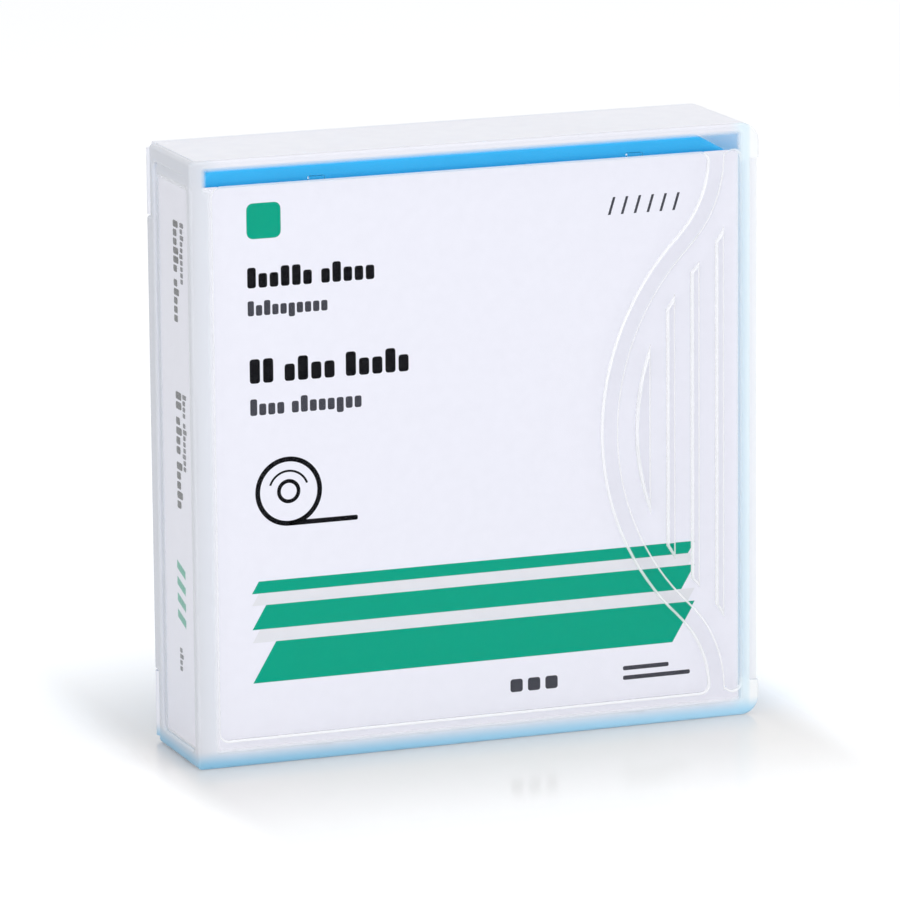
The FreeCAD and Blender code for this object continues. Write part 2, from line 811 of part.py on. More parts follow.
def boardFrame(shape):
    """Turns a shape built about the board's centre into its corner."""
    placed = turned(shape, 45, 0, 0)
    placed.translate(V(cartLength - boardFromLead, 0, cartWidth - boardFromSide))
    return placed


def boardPosts():
    posts = []
    half = boardLength / 2
    across = boardThickness / 2 + boardGap
    for side in (-1, 1):
        x0, x1 = sorted((side * (half - boardSlotDepth), side * (half - boardSlotDepth + boardPost)))
        post = block(x0, x1, hubFace - boardPostHeight, hubFace,
                     -across - boardPostWall, across + boardPostWall)
        slot = block(-half - boardGap, half + boardGap, hubFace - boardPostHeight - over, hubFace,
                     -across, across)
        posts.append(boardFrame(post.cut(slot)))
    return posts


def lowerShell():
    body = shellHalf(split, cartThick, split - over, hubFace)
    seat = cartThick - screwHeadRecess - screwHead
    added = [guardRib(), doorGuide(hubFace - doorGuideHeight, hubFace),
             springStopBlock(split, split + springSeat / 2)]
    for x, z in screwPlaces():
        added.append(disc(x, z, screwBossRadius, split, hubFace))
    added += pinSeat(hubFace, -1, pinEnd) + boardPosts()
    guideX = slideX + slidePlate + slideGap
    added.append(block(guideX, guideX + slideGuide, hubFace - slideGuideHeight, hubFace,
                       slideWindowStart - slideTravel - slideLap, cartWidth - shellWall))
    body = body.fuse(added)
    cuts = sideCuts()
    cuts.append(disc(reelFromLabel, reelFromDoor, hubOpeningRadius, hubFace - over, cartThick + over))
    bevel = Part.makeCone(hubOpeningRadius, hubOpeningRadius + openingBevel, openingBevel,
                          V(reelFromLabel, cartThick - openingBevel, reelFromDoor), V(0, 1, 0))
    cuts.append(bevel)
    cuts.append(block(-over, shellWall, slideWindowTop, slideWindowTop + slideWindowWidth,
                      slideWindowStart, slideWindowStart + slideWindowLength))
    for x, z in screwPlaces():
        cuts.append(disc(x, z, screwRadius + screwFit, split - over, cartThick))
        cuts.append(disc(x, z, screwHeadRadius + screwHeadFit, seat, cartThick + over))
    for shape in cuts:
        body = body.cut(shape)
    return body.removeSplitter()


def shellScrews():
    """Four equal screws with cross-slotted heads."""
    seat = cartThick - screwHeadRecess - screwHead
    screws = []
    for x, z in screwPlaces():
        screw = disc(x, z, screwRadius, seat - screwLength, seat)
        screw = screw.fuse(disc(x, z, screwHeadRadius, seat, seat + screwHead))
        slot = cross(screwSlotLength / 2, screwSlotWidth, seat + screwHead - screwSlotDepth,
                     seat + screwHead + over, x, z)
        screws.append(screw.cut(slot))
    return Part.makeCompound(screws)


# Reel

def reelHub():
    """Hub with the lower flange, the seat skirt, the drive teeth and the brake lugs."""
    seatEnd = hubFace - reelSeatGap
    driveBase = driveTip - driveToothHeight
    body = spin([(hubBoreRadius, hubFloorTop), (hubInside, hubFloorTop), (hubInside, upperFlangeUnder),
                 (hubRadius, upperFlangeUnder), (hubRadius, lowerFlangeTop), (flangeRadius, lowerFlangeTop),
                 (flangeRadius, lowerFlangeUnder - flangeTaper), (seatSkirtOuter, lowerFlangeUnder),
                 (seatSkirtOuter, seatEnd), (seatSkirtInner, seatEnd), (seatSkirtInner, hubFloorUnder),
                 (driveOuter, hubFloorUnder), (driveOuter, driveBase), (driveInner, driveBase),
                 (driveInner, hubFloorUnder), (hubBoreRadius, hubFloorUnder)], reelFromLabel, reelFromDoor)
    step = 360 / driveTeeth
    added = faceTeeth(driveTeeth, driveInner, driveOuter, driveBase, driveTip, reelFromLabel, reelFromDoor,
                      [i * step for i in range(driveTeeth)])
    added += brakeLugs()
    body = body.fuse(added)
    for i in range(lugCount):
        body = body.cut(turned(legBar(releaseLegGap, hubFloorTop - over, cartThick), i * 360 / lugCount,
                               reelFromLabel, reelFromDoor))
    return body


def legBar(gap, y0, y1):
    """The section of one release leg, widened by gap."""
    x = reelFromLabel + releaseLegRadius
    return block(x - releaseLegDepth / 2 - gap, x + releaseLegDepth / 2 + gap, y0, y1,
                 reelFromDoor - releaseLegWidth / 2 - gap, reelFromDoor + releaseLegWidth / 2 + gap)


def brakeLugs():
    """Lugs on the hub's floor between the release arms, each with a row of brake teeth."""
    step = 360 / brakeTeeth
    root = lugTip + brakeToothHeight
    corners = [V(reelFromLabel + brakeInner, root, reelFromDoor),
               V(reelFromLabel + brakeOuter, root, reelFromDoor),
               V(reelFromLabel + brakeOuter, hubFloorTop, reelFromDoor),
               V(reelFromLabel + brakeInner, hubFloorTop, reelFromDoor)]
    face = Part.Face(Part.makePolygon(corners + [corners[0]]))
    sector = face.revolve(V(reelFromLabel, 0, reelFromDoor), V(0, 1, 0), lugTeeth * step)
    parts = []
    for i in range(lugCount):
        centre = (i + 0.5) * 360 / lugCount
        parts.append(turned(sector, centre - lugTeeth * step / 2, reelFromLabel, reelFromDoor))
        angles = [centre + (j - (lugTeeth - 1) / 2) * step for j in range(lugTeeth)]
        parts += faceTeeth(brakeTeeth, brakeInner, brakeOuter, root, lugTip,
                           reelFromLabel, reelFromDoor, angles)
    return parts


def upperFlange():
    outer = hubInside - spigotFit
    inner = outer - spigotWall
    lip = inner - flangeLip
    spigotEnd = upperFlangeUnder + spigotHeight
    return spin([(lip, reelTop), (seatSkirtOuter, reelTop), (flangeRadius, reelTop + flangeTaper),
                 (flangeRadius, upperFlangeUnder), (outer, upperFlangeUnder), (outer, spigotEnd),
                 (inner, spigotEnd), (inner, upperFlangeUnder), (lip, upperFlangeUnder)],
                reelFromLabel, reelFromDoor)


def tapePack():
    return ring(reelFromLabel, reelFromDoor, tapeRadius, hubRadius, tapeStart, tapeEnd)


def clutchPlate():
    plate = ring(reelFromLabel, reelFromDoor, clutchOuter, clutchInner,
                 hubFloorUnder, hubFloorUnder + clutchThickness)
    for i in range(lugCount):
        hole = disc(reelFromLabel + clutchHoleCircle, reelFromDoor, clutchHoleRadius,
                    hubFloorUnder - over, cartThick)
        plate = plate.cut(turned(hole, (i + 0.5) * 360 / lugCount, reelFromLabel, reelFromDoor))
    return plate


# Reel brake

def brakeButton():
    """Toothed button that can only slide on the upper shell's cross-shaped post."""
    x = reelFromLabel
    z = reelFromDoor
    body = disc(x, z, buttonRadius, buttonTop, buttonUnder)
    step = 360 / brakeTeeth
    added = [disc(x, z, buttonBossRadius, buttonBossTop, buttonTop),
             disc(x, z, buttonTipRadius, buttonUnder, buttonTip)]
    added += faceTeeth(brakeTeeth, brakeInner, brakeOuter, buttonUnder, buttonToothTip, x, z,
                       [(i + 0.5) * step for i in range(brakeTeeth)])
    body = body.fuse(added)
    return body.cut(cross(postArm + postGap, postThickness + 2 * postGap,
                          buttonBossTop - over, buttonSlotEnd, x, z))


def coil(radius, endRadius, length, turns, wire):
    """A wire helix along +Z from the origin, in short straight lengths, whose radius runs to endRadius."""
    count = round(turns * coilSteps)
    path = []
    for i in range(count + 1):
        share = i / count
        angle = 2 * math.pi * turns * share
        reach = radius + (endRadius - radius) * share
        path.append(V(reach * math.cos(angle), reach * math.sin(angle), length * share))
    corners = []
    for i in range(wireSides + 1):
        angle = 2 * math.pi * i / wireSides
        corners.append(V(wire / 2 * math.cos(angle), wire / 2 * math.sin(angle), 0))
    section = Part.makePolygon(corners)
    section.Placement = FreeCAD.Placement(path[0], FreeCAD.Rotation(V(0, 0, 1), path[1] - path[0]))
    rightCorners = 1
    return Part.makePolygon(path).makePipeShell([section], True, False, rightCorners)


def brakeSpring():
    """Conical spring between the upper shell and the button."""
    length = buttonTop - shellFloor - brakeWire
    spring = coil(brakeSpringFoot, brakeSpringTop, length, brakeSpringTurns, brakeWire)
    spring.rotate(V(0, 0, 0), V(1, 0, 0), 90)
    spring.translate(V(reelFromLabel, buttonTop - brakeWire / 2, reelFromDoor))
    return spring


def releasePlateBody():
    """Three-armed plate whose legs pass through the hub's floor."""
    plate = disc(reelFromLabel, reelFromDoor, releaseRadius, releaseTop, releaseUnder)
    reach = reelFromLabel + releaseLegRadius + releaseLegDepth / 2
    arm = block(reelFromLabel, reach, releaseTop, releaseUnder,
                reelFromDoor - releaseArmWidth / 2, reelFromDoor + releaseArmWidth / 2)
    leg = legBar(0, releaseTop, driveTip - releaseLegRecess)
    added = []
    for i in range(lugCount):
        added.append(turned(arm.fuse(leg), i * 360 / lugCount, reelFromLabel, reelFromDoor))
    return plate.fuse(added).removeSplitter()


# Access door

def accessDoor():
    doorEnd = doorOpeningStart + doorOpeningLength + doorLap
    y0 = shellFloor + doorGap
    y1 = hubFace - doorGap
    body = block(doorStart, doorEnd, y0, y1, doorPlateZ, doorPlateZ + doorThickness)
    lugEnd = doorOpeningStart + doorOpeningLength - doorGap
    lugSide = doorOpeningMargin + doorGap
    lug = block(lugEnd - doorLugWidth, lugEnd, lugSide, cartThick - lugSide, doorLugRecess, doorPlateZ)
    tail = block(doorStart, doorStart + springSeatLength, split - springSeat / 2, split + springSeat / 2,
                 doorPlateZ, springEdge)
    peg = Part.makeCylinder(springRadius - springWire / 2 - springPegGap, springPegLength,
                            V(doorStart - springPegLength, split, springZ), V(1, 0, 0))
    return body.fuse([lug, tail, peg]).removeSplitter()


def doorSpring():
    length = springLength - springWire
    spring = coil(springRadius, springRadius, length, springTurns, springWire)
    spring.rotate(V(0, 0, 0), V(0, 1, 0), 90)
    spring.translate(V(springStopX + springWire / 2, split, springZ))
    return spring


# Tape end

def leaderPin():
    """Pin with end flanges and collars that the clip and the tape lie between."""
    collar = pinFlange + pinNeck
    rings = [disc(pinX, pinZ, pinFlangeRadius, pinStart, pinStart + pinFlange),
             disc(pinX, pinZ, pinFlangeRadius, pinEnd - pinFlange, pinEnd),
             disc(pinX, pinZ, pinFlangeRadius, pinStart + collar, pinStart + collar + pinCollar),
             disc(pinX, pinZ, pinFlangeRadius, pinEnd - collar - pinCollar, pinEnd - collar)]
    return disc(pinX, pinZ, pinRadius, pinStart, pinEnd).fuse(rings).removeSplitter()


def leaderLine():
    """Both ends of the free tape and its heading: off the pack's rim, on to the pin."""
    pack = tapeRadius + leaderGap
    pin = pinRadius + pinClipFit
    runX = pinX - reelFromLabel
    runZ = pinZ - reelFromDoor
    distance = math.hypot(runX, runZ)
    angle = math.atan2(runZ, runX) - math.acos((pack - pin) / distance)
    start = V(reelFromLabel + pack * math.cos(angle), 0, reelFromDoor + pack * math.sin(angle))
    end = V(pinX + pin * math.cos(angle), 0, pinZ + pin * math.sin(angle))
    return start, end, angle


def tapeLeader():
    start, end, angle = leaderLine()
    outward = V(math.cos(angle), 0, math.sin(angle)) * leaderThickness
    corners = [start, end, end + outward, start + outward]
    for corner in corners:
        corner.y = tapeStart
    face = Part.Face(Part.makePolygon(corners + [corners[0]]))
    return face.extrude(V(0, tapeEnd - tapeStart, 0))


def pinClip():
    """Split sleeve on the pin, open where the tape leaves."""
    inner = pinRadius + pinClipFit + leaderThickness + pinClipFit
    corners = [V(pinX + inner, tapeStart, pinZ), V(pinX + inner + pinClipWall, tapeStart, pinZ),
               V(pinX + inner + pinClipWall, tapeEnd, pinZ), V(pinX + inner, tapeEnd, pinZ)]
    face = Part.Face(Part.makePolygon(corners + [corners[0]]))
    sleeve = face.revolve(V(pinX, 0, pinZ), V(0, 1, 0), 360 - pinClipOpening)
    start, end, angle = leaderLine()
    return turned(sleeve, pinClipOpening - pinClipLead - math.degrees(angle), pinX, pinZ)


def pinSprings():
    """Two leaf springs that keep the pin's ends in their seats."""
    z = pinZ + pinFlangeRadius + pinLeafGap
    x0 = pinX - pinLeafLength / 2
    x1 = pinX + pinLeafLength / 2
    leaves = []
    for y0, y1 in ((shellFloor, shellFloor + pinLeafWidth), (hubFace - pinLeafWidth, hubFace)):
        leaves.append(block(x0, x1, y0, y1, z, z + pinLeaf))
    return Part.makeCompound(leaves)


# Write-protect slider

def writeProtectSlider():
    z0 = slideWindowStart - slideTravel - slideLap
    z1 = slideWindowStart + slideWindowLength + slideLap
    plate = block(slideX, slideX + slidePlate, slideWindowTop - slideSideLap, hubFace - slideFloorGap, z0, z1)
    tabStart = slideWindowStart + slideTabGap
    tab = block(slideTabRecess, slideX, slideWindowTop + slideTabGap,
                slideWindowTop + slideWindowWidth - slideTabGap, tabStart, tabStart + slideTabLength)
    return plate.fuse(tab).removeSplitter()


def memoryBoard():
    half = boardLength / 2
    board = block(-half, half, hubFace - boardHeight, hubFace, -boardThickness / 2, boardThickness / 2)
    return boardFrame(board)


def inCase(shape):
    """Moves a piece from the cartridge's frame into the case."""
    placed = shape.copy()
    placed.translate(V(cartX, cartY, cartZ))
    return placed


pieces = {
    "case_tray": caseTray(),
    "case_lid": caseLid(),
    "paper_insert": paperInsert(),
    "upper_shell": inCase(upperShell()),
    "lower_shell": inCase(lowerShell()),
    "shell_screws": inCase(shellScrews()),
    "access_door": inCase(accessDoor()),
    "door_spring": inCase(doorSpring()),
    "write_protect_slider": inCase(writeProtectSlider()),
    "memory_board": inCase(memoryBoard()),
    "reel_hub": inCase(reelHub()),
    "upper_flange": inCase(upperFlange()),
    "tape_pack": inCase(tapePack()),
    "clutch_plate": inCase(clutchPlate()),
    "brake_button": inCase(brakeButton()),
    "brake_spring": inCase(brakeSpring()),
    "release_plate": inCase(releasePlateBody()),
    "leader_pin": inCase(leaderPin()),
    "pin_clip": inCase(pinClip()),
    "pin_springs": inCase(pinSprings()),
    "tape_leader": inCase(tapeLeader()),
}

os.makedirs("parts", exist_ok=True)
for name, shape in pieces.items():
    shape.exportStep("parts/" + name + ".step")
    box = shape.BoundBox
    print(name, shape.isValid(), len(shape.Solids), round(shape.Volume, 1),
          [round(value, 2) for value in (box.XMin, box.YMin, box.ZMin, box.XMax, box.YMax, box.ZMax)])
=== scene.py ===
import math

import bpy
import numpy as np
from mathutils import Matrix, Vector


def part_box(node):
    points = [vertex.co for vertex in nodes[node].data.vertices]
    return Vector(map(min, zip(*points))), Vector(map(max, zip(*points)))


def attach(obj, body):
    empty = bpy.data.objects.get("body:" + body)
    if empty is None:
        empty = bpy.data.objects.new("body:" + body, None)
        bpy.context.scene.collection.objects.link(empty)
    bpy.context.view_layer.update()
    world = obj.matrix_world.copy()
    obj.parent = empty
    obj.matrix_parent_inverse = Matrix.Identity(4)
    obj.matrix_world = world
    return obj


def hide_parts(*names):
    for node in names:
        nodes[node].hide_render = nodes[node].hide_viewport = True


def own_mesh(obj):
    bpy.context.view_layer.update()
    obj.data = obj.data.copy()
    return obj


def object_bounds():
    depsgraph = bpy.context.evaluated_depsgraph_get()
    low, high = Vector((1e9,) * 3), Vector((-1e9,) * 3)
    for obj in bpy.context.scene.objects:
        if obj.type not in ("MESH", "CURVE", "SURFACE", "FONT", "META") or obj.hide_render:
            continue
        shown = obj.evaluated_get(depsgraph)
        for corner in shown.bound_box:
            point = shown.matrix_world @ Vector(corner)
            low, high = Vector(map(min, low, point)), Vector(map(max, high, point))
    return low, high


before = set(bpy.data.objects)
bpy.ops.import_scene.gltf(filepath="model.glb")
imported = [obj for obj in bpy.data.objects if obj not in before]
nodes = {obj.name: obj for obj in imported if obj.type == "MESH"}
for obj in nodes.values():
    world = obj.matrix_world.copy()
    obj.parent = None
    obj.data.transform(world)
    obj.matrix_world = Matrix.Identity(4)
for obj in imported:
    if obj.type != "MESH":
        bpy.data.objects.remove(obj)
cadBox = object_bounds()
print("frame loaded:", len(nodes), "pieces")

# Sizes are in metres. X runs from the spine to the opening edge, Y from the lid to the
# tray's back, Z up. The case stands on the floor at Z 0.
mm = 0.001
caseLow, caseHigh = cadBox
sheetLow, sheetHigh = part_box("paper_insert")
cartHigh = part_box("upper_shell")[1]
flangeLow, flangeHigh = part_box("upper_flange")
reelAxis = Vector(((flangeLow.x + flangeHigh.x) / 2, 0, (flangeLow.z + flangeHigh.z) / 2))
white = (1.0, 1.0, 1.0, 1.0)


# Steps that materials are made of

def startMaterial(name):
    material = bpy.data.materials.new(name)
    material.use_nodes = True
    tree = material.node_tree
    tree.nodes.clear()
    return material, tree


def addNode(tree, kind, settings=None, **sockets):
    # Adds a node. A socket goes by its name, or by i and its number, and gets a plain value, a
    # colour or the output that feeds it.
    node = tree.nodes.new(kind)
    for key, value in (settings or {}).items():
        setattr(node, key, value)
    for key, value in sockets.items():
        numbered = key[1:].isdigit()
        socket = node.inputs[int(key[1:]) if numbered else key.replace("_", " ")]
        if isinstance(value, bpy.types.NodeSocket):
            tree.links.new(value, socket)
        else:
            socket.default_value = value
    return node


def finishMaterial(tree, shader):
    addNode(tree, "ShaderNodeOutputMaterial", Surface=shader)


def rgb(red, green, blue):
    # A colour as it shows on screen, from 0 to 255, turned into Blender's linear values.
    shown = np.array((red, green, blue)) / 255
    linear = np.where(shown <= 0.04045, shown / 12.92, ((shown + 0.055) / 1.055) ** 2.4)
    return (*linear.tolist(), 1.0)


def place(tree):
    return addNode(tree, "ShaderNodeTexCoord").outputs["Object"]


def calc(tree, operation, *values, kind="ShaderNodeMath"):
    # One step of arithmetic, on numbers or on vectors as the kind of node says.
    sockets = {"i%d" % i: value for i, value in enumerate(values)}
    return addNode(tree, kind, {"operation": operation}, **sockets).outputs[0]


def vectorCalc(tree, operation, *values):
    return calc(tree, operation, *values, kind="ShaderNodeVectorMath")


def blend(tree, share, first, second):
    return addNode(tree, "ShaderNodeMixRGB", Fac=share, Color1=first, Color2=second).outputs[0]


def blendShaders(tree, share, first, second):
    return addNode(tree, "ShaderNodeMixShader", i0=share, i1=first, i2=second).outputs[0]


noiseLook = {
    "tone": {"detail": 3.0, "reach": (0.3, 0.7)},
    "gloss": {"detail": 2.0, "reach": (0.35, 0.65)},
    "grain": {"detail": 2.0},
}


def unevenLevel(tree, where, scale, look, low, high):
    # A level that wanders between low and high as the noise runs through its reach.
    noise = addNode(tree, "ShaderNodeTexNoise", Vector=where, Scale=scale, Detail=look["detail"])
    return addNode(tree, "ShaderNodeMapRange", Value=noise.outputs["Fac"],
                   From_Min=look["reach"][0], From_Max=look["reach"][1],
                   To_Min=low, To_Max=high).outputs["Result"]


def unevenGloss(tree, where, scale, low, high):
    return unevenLevel(tree, where, scale, noiseLook["gloss"], low, high)


def mottled(tree, colour, where, scale, change):
    # The colour with a soft uneven tone, change up and down.
    level = unevenLevel(tree, where, scale, noiseLook["tone"], 1 - change, 1 + change)
    if not isinstance(colour, bpy.types.NodeSocket):
        colour = colour[:3]
    return addNode(tree, "ShaderNodeVectorMath", {"operation": "SCALE"}, i0=colour,
                   Scale=level).outputs["Vector"]


def grain(tree, where, scale, depth, detail=noiseLook["grain"]["detail"]):
    # Fine moulded or woven grain as a bump, depth in metres.
    noise = addNode(tree, "ShaderNodeTexNoise", Vector=where, Scale=scale, Detail=detail)
    return addNode(tree, "ShaderNodeBump", Height=noise.outputs["Fac"], Distance=depth,
                   Strength=1.0).outputs["Normal"]


def awayFrom(tree, where, low, high):
    # Distance from the box between two corners: 0 inside it, else the length of what each
    # coordinate lies beyond it.
    middle = (low + high) / 2
    apart = vectorCalc(tree, "SUBTRACT", where, tuple(middle))
    apart = vectorCalc(tree, "ABSOLUTE", apart)
    beyond = vectorCalc(tree, "SUBTRACT", apart, tuple(high - middle))
    beyond = vectorCalc(tree, "MAXIMUM", beyond, (0, 0, 0))
    return addNode(tree, "ShaderNodeVectorMath", {"operation": "LENGTH"},
                   i0=beyond).outputs["Value"]


# Finishes of the case. Scales are of noise over metres, depths of bumps in metres.

clearCase = {
    "tint": rgb(253, 254, 255),
    "shade": (0.98, 0.985, 0.985, 1.0),  # what lamps keep of their light behind a wall
    "index": 1.5,
    "rimShade": (0.66, 0.67, 0.69, 1.0),  # the same behind a rounded rim, which bends light away
    "shine": (0.06, 0.06, 0.065, 1.0),  # strength of the reflections seen straight on
    "rimShine": (0.9, 0.9, 0.92, 1.0),  # the same on rounded rims
    "rimFacing": (0.999, 0.97),  # largest coordinate of the normal where a rim starts and is full
    "gloss": (0.01, 0.03),
    "glossScale": 150.0,
    "waveScale": 60.0,
    "waveDepth": 0.0001,
    "waveDetail": 1.0,
    "reflections": 1.5,     # after more of them than this, light passes the wall straight
    "milk": 0.78,           # share of scattered light where no insert lies behind the wall
    "rimMilk": 0.66,        # the same along the rounded rims
    "milkBlur": 0.3,
    "milkFade": 1.1 * mm,
    "footOverlap": 0.9 * mm,    # how far the milky border reaches over the insert at the foot
    "sideOverlap": 0.5 * mm,    # the same at the opening edge
    "spineOverlap": 0.9 * mm,   # the same on the spine, at its back and its top
    "cornerBand": 1.9 * mm,     # width of the milky band beside the spine's corner
    "frontBand": 3.0 * mm,      # the same on the front, as high as the insert
}

# Colours of the milky border from the spine's corner to the opening edge, by X: a lavender white,
# darker by the spine's corner as painted shade, pale blue beside the insert's right edge, the
# blue cartridge painted in as if seen through the wall, and white at the opening edge as painted
# light.
borderPaintedLight = (
    (caseLow.x, rgb(222, 224, 230)),
    (caseLow.x + 3.6 * mm, rgb(228, 231, 238)),
    (caseLow.x + 6 * mm, rgb(238, 238, 245)),
    (sheetHigh.x - 2 * mm, rgb(238, 238, 245)),
    (sheetHigh.x, rgb(233, 246, 253)),
    (sheetHigh.x + 1.6 * mm, rgb(233, 247, 254)),
    (sheetHigh.x + 2 * mm, rgb(252, 254, 255)),
)

milkyTray = {
    # The upper colours are the tray's milky white, painted lighter to white at the opening edge
    # as painted light. The lower ones are painted light at the foot, pale blue, lighter towards
    # the opening edge as painted light from that side.
    "upper": ((caseHigh.x - 3 * mm, rgb(245, 245, 251)), (caseHigh.x, rgb(254, 254, 255))),
    "lower": ((caseLow.x, rgb(144, 200, 230)), (caseHigh.x, rgb(178, 226, 252))),
    "change": (0.3 * mm, 3.6 * mm),  # heights where the painted blue at the foot starts to fade and has gone
    "tone": 0.01,
    "toneScale": 40.0,
    "frost": (0.28, 0.38),
    "frostScale": 300.0,
    "grainScale": 3000.0,
    "grainDepth": 0.000005,
    "clear": 0.16,              # share of the light that still passes unscattered
}


def alongCase(tree, across, stops):
    # The colour at a place across the case, blended between stops of (x, colour).
    share = addNode(tree, "ShaderNodeMapRange", Value=across, From_Min=caseLow.x,
                    From_Max=caseHigh.x)
    ramp = addNode(tree, "ShaderNodeValToRGB", Fac=share.outputs["Result"])
    marks = ramp.color_ramp.elements
    marks.remove(marks[1])
    for i, (x, colour) in enumerate(stops):
        at = (x - caseLow.x) / (caseHigh.x - caseLow.x)
        mark = marks[0] if i == 0 else marks.new(at)
        mark.position = at
        mark.color = colour
    return ramp.outputs["Color"]


def tintAndPaintedLight(tree, where, upper):
    # The upper colours, fading at the foot to the lower ones: painted pale blue light in place of
    # the light that clear plastic carries into the dark gap under the cartridge.
    parts = addNode(tree, "ShaderNodeSeparateXYZ", Vector=where)
    start, end = milkyTray["change"]
    fade = addNode(tree, "ShaderNodeMapRange", {"interpolation_type": "SMOOTHSTEP"},
                   Value=parts.outputs["Z"], From_Min=start, From_Max=end)
    above = mottled(tree, alongCase(tree, parts.outputs["X"], upper), where,
                    milkyTray["toneScale"], milkyTray["tone"])
    return blend(tree, fade.outputs["Result"],
                 alongCase(tree, parts.outputs["X"], milkyTray["lower"]), above)


def lidMilk(tree, where):
    # The lid looks clear over the insert and the cartridge and milky along its borders: 0 in
    # three boxes, over the insert's front, the strip above it and its spine, and 1 away from
    # them.
    foot = sheetLow.z + clearCase["footOverlap"]
    frontEnd = sheetHigh.x - clearCase["sideOverlap"]
    overlap = clearCase["spineOverlap"]
    front = (Vector((sheetLow.x + clearCase["frontBand"], caseLow.y, foot)),
             Vector((frontEnd, caseHigh.y, sheetHigh.z)))
    strip = (Vector((sheetLow.x + clearCase["cornerBand"], caseLow.y, sheetHigh.z)),
             Vector((frontEnd, caseHigh.y, cartHigh.z)))
    spine = (Vector((caseLow.x, sheetLow.y + clearCase["cornerBand"], foot)),
             Vector((sheetLow.x, sheetHigh.y - overlap, sheetHigh.z - overlap)))
    nearest = awayFrom(tree, where, *front)
    for low, high in (spine, strip):
        nearest = calc(tree, "MINIMUM", nearest, awayFrom(tree, where, low, high))
    return addNode(tree, "ShaderNodeMapRange", Value=nearest, From_Min=0.0,
                   From_Max=clearCase["milkFade"]).outputs["Result"]


def roundedRims(tree):
    # 1 where the surface faces between two of the case's main directions, 0 on its flat faces:
    # 1 less the largest of the normal's three coordinates, stretched.
    facing = addNode(tree, "ShaderNodeTexCoord").outputs["Normal"]
    parts = addNode(tree, "ShaderNodeSeparateXYZ", Vector=vectorCalc(tree, "ABSOLUTE", facing))
    largest = calc(tree, "MAXIMUM", parts.outputs["X"], parts.outputs["Y"])
    largest = calc(tree, "MAXIMUM", largest, parts.outputs["Z"])
    start, full = clearCase["rimFacing"]
    return addNode(tree, "ShaderNodeMapRange", Value=largest, From_Min=start,
                   From_Max=full).outputs["Result"]


def openToLamps(tree, plastic, shade):
    # Lamps and bounced light pass straight through, and so does light that has gone round
    # inside the wall for a while, which would otherwise end up black.
    rays = addNode(tree, "ShaderNodeLightPath")
    lit = calc(tree, "MAXIMUM", rays.outputs["Is Shadow Ray"], rays.outputs["Is Diffuse Ray"])
    lost = calc(tree, "GREATER_THAN", rays.outputs["Glossy Depth"], clearCase["reflections"])
    opening = addNode(tree, "ShaderNodeBsdfTransparent", Color=shade)
    return blendShaders(tree, calc(tree, "MAXIMUM", lit, lost), plastic.outputs[0],
                        opening.outputs[0])


def clearPlastic(name):
    # Polished clear plastic that bends what is seen through it, milky along its borders and rims,
    # where light gathers. The borders' colour is painted light and shade: darker by the spine's
    # corner, pale blue at the foot and beside the insert's right edge, white at the opening edge.
    material, tree = startMaterial(name)
    where = place(tree)
    rims = roundedRims(tree)
    outside = lidMilk(tree, where)
    milk = calc(tree, "MAXIMUM", calc(tree, "MULTIPLY", outside, clearCase["milk"]),
                calc(tree, "MULTIPLY", rims, clearCase["rimMilk"]))
    polish = unevenGloss(tree, where, clearCase["glossScale"], *clearCase["gloss"])
    body = addNode(tree, "ShaderNodeBsdfPrincipled", IOR=clearCase["index"],
                   Base_Color=blend(tree, outside, clearCase["tint"],
                                    tintAndPaintedLight(tree, where, borderPaintedLight)),
                   Transmission_Weight=calc(tree, "SUBTRACT", 1.0, milk),
                   Specular_Tint=blend(tree, rims, clearCase["shine"], clearCase["rimShine"]),
                   Roughness=calc(tree, "MULTIPLY_ADD", milk, clearCase["milkBlur"], polish),
                   Normal=grain(tree, where, clearCase["waveScale"], clearCase["waveDepth"],
                                clearCase["waveDetail"]))
    shade = blend(tree, rims, clearCase["shade"], clearCase["rimShade"])
    finishMaterial(tree, openToLamps(tree, body, shade))
    return material


def milkyPlastic(name):
    # Whitish plastic with a matt surface. Its colour is painted light: pale blue at the foot and
    # white at the opening edge.
    material, tree = startMaterial(name)
    where = place(tree)
    frost = unevenGloss(tree, where, milkyTray["frostScale"], *milkyTray["frost"])
    body = addNode(tree, "ShaderNodeBsdfPrincipled", IOR=clearCase["index"],
                   Base_Color=tintAndPaintedLight(tree, where, milkyTray["upper"]),
                   Transmission_Weight=milkyTray["clear"], Roughness=frost,
                   Normal=grain(tree, where, milkyTray["grainScale"], milkyTray["grainDepth"]))
    finishMaterial(tree, openToLamps(tree, body, clearCase["shade"]))
    return material


# Finishes of the insert and the cartridge

mouldedLook = {
    "gloss": (0.3, 0.42),
    "glossScale": 400.0,
    "tone": 0.04,
    "toneScale": 90.0,
    "grainScale": 2600.0,
    "grainDepth": 0.00003,
}

metalLook = {
    "gloss": (0.2, 0.34),
    "streaks": (900.0, 9000.0, 900.0),  # how closely they follow each other along X, Y and Z
    "tone": 0.05,
    "toneScale": 700.0,
    "grainDepth": 0.000004,
}

paperLook = {
    "gloss": (0.38, 0.5),
    "inkGloss": (0.3, 0.4),
    "glossScale": 900.0,
    "sheen": 0.06,
    "tone": 0.008,
    "toneScale": 500.0,
    "grainScale": 5000.0,
    "grainDepth": 0.000004,
}

tapeLook = {
    "colours": (rgb(52, 42, 36), rgb(74, 62, 54)),
    "turnScale": 260.0,
    "unevenness": 1.5,
    "detail": 2.0,
    "roughness": 0.32,
    "depth": 0.00002,
    "strength": 0.6,
}


